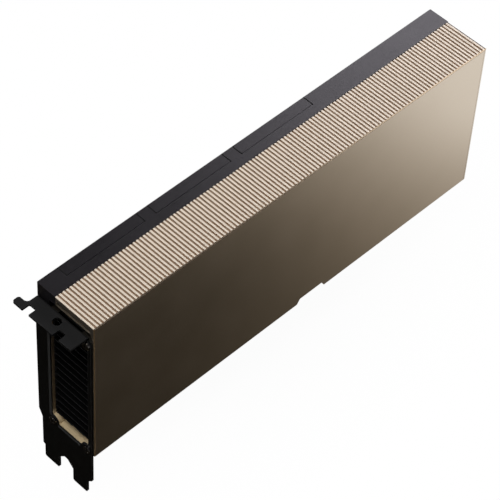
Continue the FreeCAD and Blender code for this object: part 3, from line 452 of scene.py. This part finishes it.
def paint_seam_shadow(material):
    """Paints shadow into the short seams at both ends of every cap, darker and duller there."""
    tree = material.node_tree
    place = three_axes(tree, "Object")
    from_first = maths(tree, "SUBTRACT", place["X"], first_cap[0].x)
    along_cap = maths(tree, "FLOORED_MODULO", from_first, cap_pitch)
    shade = maths(tree, "COMPARE", along_cap, 0.0, seam_reach)
    for seam in (cap_length, cap_pitch):
        shade = maths(tree, "ADD", shade, maths(tree, "COMPARE", along_cap, seam, seam_reach))
    for axis, test, limit in (
        ("X", "GREATER_THAN", first_cap[0].x - seam_margin),
        ("X", "LESS_THAN", last_cap[1].x + seam_margin),
        ("Y", "GREATER_THAN", first_cap[0].y - seam_margin),
        ("Z", "GREATER_THAN", first_cap[0].z - seam_margin),
    ):
        shade = maths(tree, "MULTIPLY", shade, maths(tree, test, place[axis], limit))
    # Painted shadow: the seams between the caps and the cover turn near black and dull.
    overlay(material, shade, (0.001, 0.001, 0.001))
    overlay(material, shade, 0.9, "Roughness")


paint_seam_shadow(cap_plastic)
paint_seam_shadow(black_casting)
for number in (1, 2, 3):
    wear("bridge_cover_%d" % number, cap_plastic)

# Mounting bracket: steel sheet, folded, punched and coated satin black.
# The coat shows a slight orange peel. Painted light makes the faces that look up a little greyer,
# and a painted highlight pales the window's cut edges.
window_edge_facing = -0.65
window_edge_spread = 0.33
tab_foot = 0.094
upward_painted_light = (0.5, 0.9)
black_steel = finish_with_grain(
    "black_steel",
    dark=(0.0030, 0.0031, 0.0031), light=(0.0048, 0.0049, 0.0049), rough=(0.34, 0.46), metallic=0.0,
    grain_size=0.0008, blotch_size=0.015, relief=0.00002, specular=0.1,
)
tree = black_steel.node_tree
facing = three_axes(tree, "Normal")
window_edge_highlight = maths(tree, "COMPARE", facing["X"], window_edge_facing, window_edge_spread)
below_tab = maths(tree, "LESS_THAN", three_axes(tree, "Object")["Z"], tab_foot)
# Painted light: faces that look up are a little greyer.
overlay(black_steel, ramp(tree, facing["Z"], *upward_painted_light), (0.0128, 0.0128, 0.0130))
# Painted highlight: the window's slanted cut edges below the tab are paler.
overlay(black_steel, maths(tree, "MULTIPLY", window_edge_highlight, below_tab), (0.03, 0.03, 0.03))
# The paler rubbed edges are partly wear and partly a painted highlight along the tab's edge.
wear("mounting_bracket", rub_edges(black_steel, 0.00035, 0.8, (0.05, 0.05, 0.05)))

# Cooler: anodised black plates on an anodised base plate, with a copper vapour chamber.
# The fins are cut from rolled sheet, and their cut ends in the air window are slightly greyer.
cut_facing = -0.6
fin_coat = finish_with_grain(
    "black_fins",
    dark=(0.0010, 0.0010, 0.0011), light=(0.0020, 0.0020, 0.0021), rough=(0.4, 0.55), metallic=0.0,
    grain_size=0.0006, blotch_size=0.012, relief=0.00001, specular=0.08,
)
tree = fin_coat.node_tree
cut_ends = maths(tree, "LESS_THAN", three_axes(tree, "Normal")["X"], cut_facing)
overlay(fin_coat, cut_ends, (0.02, 0.02, 0.021))
wear("cooling_fins", fin_coat)
wear("cooler_base", finish_with_grain(
    "black_plate",
    dark=(0.01, 0.01, 0.011), light=(0.02, 0.02, 0.022), rough=(0.35, 0.5), metallic=0.3,
    grain_size=0.0005, blotch_size=0.015, relief=0.000015,
))
wear("vapour_chamber", finish_with_grain(
    "copper",
    dark=(0.62, 0.25, 0.12), light=(0.78, 0.42, 0.26), rough=(0.25, 0.45), metallic=1.0,
    grain_size=0.0008, blotch_size=0.009, relief=0.00001,
))

# Processor: a green carrier with a nickel frame, a bare silicon die and black memory stacks.
# Grey paste lies between the silicon and the chamber.
wear("package_substrate", finish_with_grain(
    "green_laminate",
    dark=(0.012, 0.07, 0.03), light=(0.02, 0.11, 0.05), rough=(0.25, 0.4), metallic=0.0,
    grain_size=0.0005, blotch_size=0.006, relief=0.00002,
))
wear("package_stiffener", finish_with_grain(
    "nickel_frame",
    dark=(0.50, 0.49, 0.45), light=(0.62, 0.60, 0.56), rough=(0.25, 0.42), metallic=1.0,
    grain_size=0.0004, blotch_size=0.008, relief=0.00001,
))
wear("processor_die", finish_with_grain(
    "silicon",
    dark=(0.10, 0.10, 0.13), light=(0.16, 0.16, 0.19), rough=(0.08, 0.16), metallic=0.6,
    grain_size=0.001, blotch_size=0.01, relief=0.000002,
))
wear("memory_stacks", finish_with_grain(
    "black_silicon",
    dark=(0.03, 0.03, 0.035), light=(0.05, 0.05, 0.06), rough=(0.12, 0.25), metallic=0.5,
    grain_size=0.001, blotch_size=0.006, relief=0.000002,
))
wear("thermal_paste", finish_with_grain(
    "grey_paste",
    dark=(0.28, 0.28, 0.28), light=(0.42, 0.42, 0.42), rough=(0.5, 0.7), metallic=0.0,
    grain_size=0.0008, blotch_size=0.004, relief=0.00005,
))

# Board: black solder mask over a glass laminate, cut to shape with the slot and bridge tongues.
# The cut edges show the amber laminate, and faint tracks stand up under the mask.
track_pitch = 0.00025
track_edge = 0.00014
track_height = 0.00002
fields_per_metre = 120
upright_share = 0.45
least_flat = 0.5
board_skin = finish_with_grain(
    "board_laminate",
    dark=(0.006, 0.008, 0.007), light=(0.012, 0.015, 0.013), rough=(0.28, 0.4), metallic=0.0,
    grain_size=0.0004, blotch_size=0.01, relief=0.00001,
)
tree = board_skin.node_tree
place = three_axes(tree, "Object")
values = {"Vector": add(tree, "TexCoord").outputs["Object"], "Scale": fields_per_metre}
layout = add(tree, "TexVoronoi", values, distance="CHEBYCHEV").outputs["Color"]
direction = add(tree, "SeparateColor", {"Color": layout}).outputs["Red"]
upright = maths(tree, "GREATER_THAN", direction, upright_share)
across = blend(tree, upright, place["Z"], place["X"])
spacing = maths(tree, "PINGPONG", across, track_pitch)
tracks = maths(tree, "GREATER_THAN", spacing, track_edge)
flatness = maths(tree, "ABSOLUTE", three_axes(tree, "Normal")["Y"])
cut_edges = maths(tree, "LESS_THAN", flatness, least_flat)
overlay(board_skin, tracks, (0.016, 0.021, 0.017))
overlay(board_skin, cut_edges, (0.085, 0.075, 0.035))
relief = tree.nodes["Principled BSDF"].inputs["Normal"]
values = {"Height": tracks, "Distance": track_height, "Normal": relief.links[0].from_socket}
tree.links.new(add(tree, "Bump", values).outputs["Normal"], relief)
wear("circuit_board", board_skin)

# Edge contacts: hard gold plating, scuffed along the way the card slides into its slot.
# The scuffs dull the gold in streaks but don't cut through it.
streaks_per_metre = (4000, 4000, 300)
scuffed = (0.5, 0.75)
gold = finish_with_grain(
    "gold",
    dark=(0.80, 0.53, 0.20), light=(0.92, 0.66, 0.30), rough=(0.22, 0.36), metallic=0.75,
    grain_size=0.0005, blotch_size=0.004, relief=0.000006,
)
tree = gold.node_tree
spot = add(tree, "TexCoord").outputs["Object"]
stretched = add(tree, "Mapping", {"Vector": spot, "Scale": streaks_per_metre})
streaks = add(tree, "TexNoise", {"Vector": stretched.outputs["Vector"], "Scale": 1})
overlay(gold, ramp(tree, streaks.outputs["Fac"], *scuffed), (0.62, 0.42, 0.20))
wear("edge_contacts", gold)

# Power parts on the board: moulded inductors and stages under soft pads, and capacitors.
# The small chips near the bracket share the stages' moulded resin.
wear("power_inductors", finish_with_grain(
    "grey_ferrite",
    dark=(0.035, 0.035, 0.037), light=(0.065, 0.065, 0.066), rough=(0.45, 0.62), metallic=0.1,
    grain_size=0.0005, blotch_size=0.004, relief=0.00004,
))
resin = finish_with_grain(
    "black_package",
    dark=(0.010, 0.010, 0.010), light=(0.018, 0.018, 0.018), rough=(0.4, 0.55), metallic=0.0,
    grain_size=0.0004, blotch_size=0.003, relief=0.00002,
)
wear("power_stages", resin)
wear("control_chips", resin)
soft_pad = finish_with_grain(
    "soft_pad",
    dark=(0.26, 0.31, 0.37), light=(0.34, 0.40, 0.46), rough=(0.6, 0.8), metallic=0.0,
    grain_size=0.0007, blotch_size=0.005, relief=0.00005,
)
wear("inductor_pads", soft_pad)
wear("stage_pads", soft_pad)
capacitor_resin = finish_with_grain(
    "capacitor_body",
    dark=(0.014, 0.012, 0.010), light=(0.024, 0.021, 0.018), rough=(0.35, 0.5), metallic=0.0,
    grain_size=0.0004, blotch_size=0.003, relief=0.00002,
)
wear("output_capacitors", capacitor_resin)
wear("input_capacitors", capacitor_resin)

# Power socket: black nylon, moulded in one piece with eight square cavities.
# A tinned pin stands in each cavity, pressed in from behind.
wear("power_socket", finish_with_grain(
    "socket_plastic",
    dark=(0.010, 0.010, 0.010), light=(0.016, 0.016, 0.016), rough=(0.38, 0.5), metallic=0.0,
    grain_size=0.0005, blotch_size=0.006, relief=0.00002,
))
wear("power_pins", finish_with_grain(
    "tinned_pin",
    dark=(0.55, 0.55, 0.52), light=(0.68, 0.68, 0.65), rough=(0.22, 0.38), metallic=1.0,
    grain_size=0.0004, blotch_size=0.003, relief=0.00001,
))

# Behind the board, inside the rear cover: a spring plate of bare steel and its four screws,
# which draw the cooler onto the processor, and a thin black insulating film.
wear("spring_plate", finish_with_grain(
    "spring_steel",
    dark=(0.38, 0.37, 0.35), light=(0.52, 0.51, 0.49), rough=(0.28, 0.45), metallic=1.0,
    grain_size=0.0005, blotch_size=0.01, relief=0.00001,
))
wear("cooler_screws", finish_with_grain(
    "steel_screws",
    dark=(0.50, 0.49, 0.46), light=(0.60, 0.59, 0.56), rough=(0.25, 0.4), metallic=1.0,
    grain_size=0.0005, blotch_size=0.004, relief=0.00001,
))
wear("insulating_film", finish_with_grain(
    "film",
    dark=(0.008, 0.008, 0.008), light=(0.014, 0.014, 0.014), rough=(0.2, 0.32), metallic=0.0,
    grain_size=0.0006, blotch_size=0.02, relief=0.00001,
))


# Cross-head screws: low round heads with a cross recess, black at the bracket and the rear cover.
# Each is turned as it stopped, and its shank runs on into the boss or the post behind it.
def face_order(face):
    """A number from a face's first three points, which lists the faces alike in every run."""
    first, second, third = sorted(vertex.index for vertex in face.verts)[:3]
    return (first * 1000 + second) * 1000 + third


def cross_screw(shape, head, shank, place):
    """Adds one screw, its seat at the origin of its place and its head towards local +Z."""
    head_radius, head_height, dome = head
    shank_radius, shank_length = shank
    reach = head_radius * 0.62
    arm = head_radius * 0.15
    recess_depth = head_height * 0.75
    recess_taper = (0.55, 0.55, 1)
    crown_radius = head_radius * 0.90
    shoulder = -dome * 0.45
    part = bmesh.new()
    bmesh.ops.create_grid(part, x_segments=3, y_segments=3, size=reach)
    for vertex in part.verts:
        if abs(vertex.co.x) < reach * 0.5:
            vertex.co.x = math.copysign(arm, vertex.co.x)
        if abs(vertex.co.y) < reach * 0.5:
            vertex.co.y = math.copysign(arm, vertex.co.y)
    cross = [
        face
        for face in part.faces
        if min(abs(face.calc_center_median().x), abs(face.calc_center_median().y)) < arm
    ]
    rim = [edge for edge in part.edges if edge.is_boundary]
    sunk = bmesh.ops.extrude_face_region(part, geom=cross)
    floor_points = [item for item in sunk["geom"] if isinstance(item, bmesh.types.BMVert)]
    bmesh.ops.delete(part, geom=cross, context="FACES")
    bmesh.ops.scale(part, verts=floor_points, vec=recess_taper)
    bmesh.ops.translate(part, verts=floor_points, vec=(0, 0, -recess_depth))
    for radius, height in (
        (crown_radius, shoulder),
        (head_radius, -dome),
        (head_radius, -head_height),
        (shank_radius, -head_height),
        (shank_radius, -head_height - shank_length),
    ):
        ring = bmesh.ops.extrude_edge_only(part, edges=rim)
        points = [item for item in ring["geom"] if isinstance(item, bmesh.types.BMVert)]
        rim = [item for item in ring["geom"] if isinstance(item, bmesh.types.BMEdge)]
        rim = [edge for edge in rim if edge.is_boundary]
        if height == shoulder:
            bmesh.ops.subdivide_edges(part, edges=rim, cuts=2)
            rim = [edge for edge in part.edges if edge.is_boundary]
            points = list({vertex for edge in rim for vertex in edge.verts})
        for vertex in points:
            flat = Vector((vertex.co.x, vertex.co.y, 0)).normalized() * radius
            vertex.co = Vector((flat.x, flat.y, height))
    bmesh.ops.holes_fill(part, edges=rim)
    bmesh.ops.recalc_face_normals(part, faces=part.faces)
    bmesh.ops.translate(part, verts=part.verts, vec=(0, 0, head_height))
    bmesh.ops.transform(part, matrix=place, verts=part.verts)
    part.verts.index_update()
    part.faces.sort(key=face_order)
    copy = bpy.data.meshes.new("one_screw")
    part.to_mesh(copy)
    part.free()
    shape.from_mesh(copy)
    bpy.data.meshes.remove(copy)


def screw_set(name, node, material, head, shank, places):
    """Makes one object of equal screws that stands for a node of the frame.

    The head is its radius, its height and how far its rim is drawn down; the shank is its
    radius and its length.
    """
    shape = bmesh.new()
    for place in places:
        cross_screw(shape, head, shank, place)
    mesh = bpy.data.meshes.new(name)
    shape.to_mesh(mesh)
    shape.free()
    mesh.materials.append(material)
    piece = bpy.data.objects.new(name, mesh)
    bpy.context.scene.collection.objects.link(piece)
    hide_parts(node)
    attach(piece, "root")


stops = random.Random(7)
quarter_turn = 1.57


def stopped(x, y, z, outwards):
    """A screw's place, its head pointing outwards, turned by chance as it stopped."""
    by_chance = Matrix.Rotation(stops.uniform(0, quarter_turn), 4, "Z")
    return Matrix.Translation((x, y, z)) @ outwards @ by_chance


black_oxide = finish_with_grain(
    "black_screws",
    dark=(0.11, 0.105, 0.10), light=(0.17, 0.16, 0.155), rough=(0.16, 0.28), metallic=1.0,
    grain_size=0.0004, blotch_size=0.002, relief=0.00001,
)
bracket_face = -0.05715
window_corners = [(y, z) for y in (-0.007045, -0.031265) for z in (0.01787, 0.0975)]
out_of_bracket = Matrix(((0, 0, -1), (0, 1, 0), (1, 0, 0))).to_4x4()
screw_set(
    "bracket_cross_screws",
    "bracket_screws",
    black_oxide,
    head=(0.00235, 0.0011, 0.0004),
    shank=(0.00125, 0.0046),
    places=[stopped(bracket_face, y, z, out_of_bracket) for y, z in window_corners],
)
cover_seat = 0.002755
cover_posts = [(x, z) for x in (-0.04295, 0.12405, 0.19025) for z in (0.09815, 0.01965)]
out_of_cover = Matrix(((1, 0, 0), (0, 0, 1), (0, -1, 0))).to_4x4()
screw_set(
    "cover_cross_screws",
    "cover_screws",
    black_oxide,
    head=(0.0023, 0.0007, 0.0001),
    shank=(0.0011, 0.00708),
    places=[stopped(x, cover_seat, z, out_of_cover) for x, z in cover_posts],
)
champagne_coat = finish_with_grain(
    "champagne_screws",
    dark=(0.42, 0.34, 0.24), light=(0.52, 0.43, 0.32), rough=(0.3, 0.45), metallic=1.0,
    grain_size=0.0004, blotch_size=0.003, relief=0.00001,
)
bottom_row = -0.00297
bottom_seat = 0.01415
out_of_floor = Matrix(((1, 0, 0), (0, -1, 0), (0, 0, -1))).to_4x4()
screw_set(
    "floor_cross_screws",
    "shroud_screws",
    champagne_coat,
    head=(0.00145, 0.0005, 0.0002),
    shank=(0.0008, 0.0042),
    places=[
        stopped(x, bottom_row, bottom_seat, out_of_floor)
        for x in (-0.054, 0.01261, 0.13269, 0.2083)
    ],
)
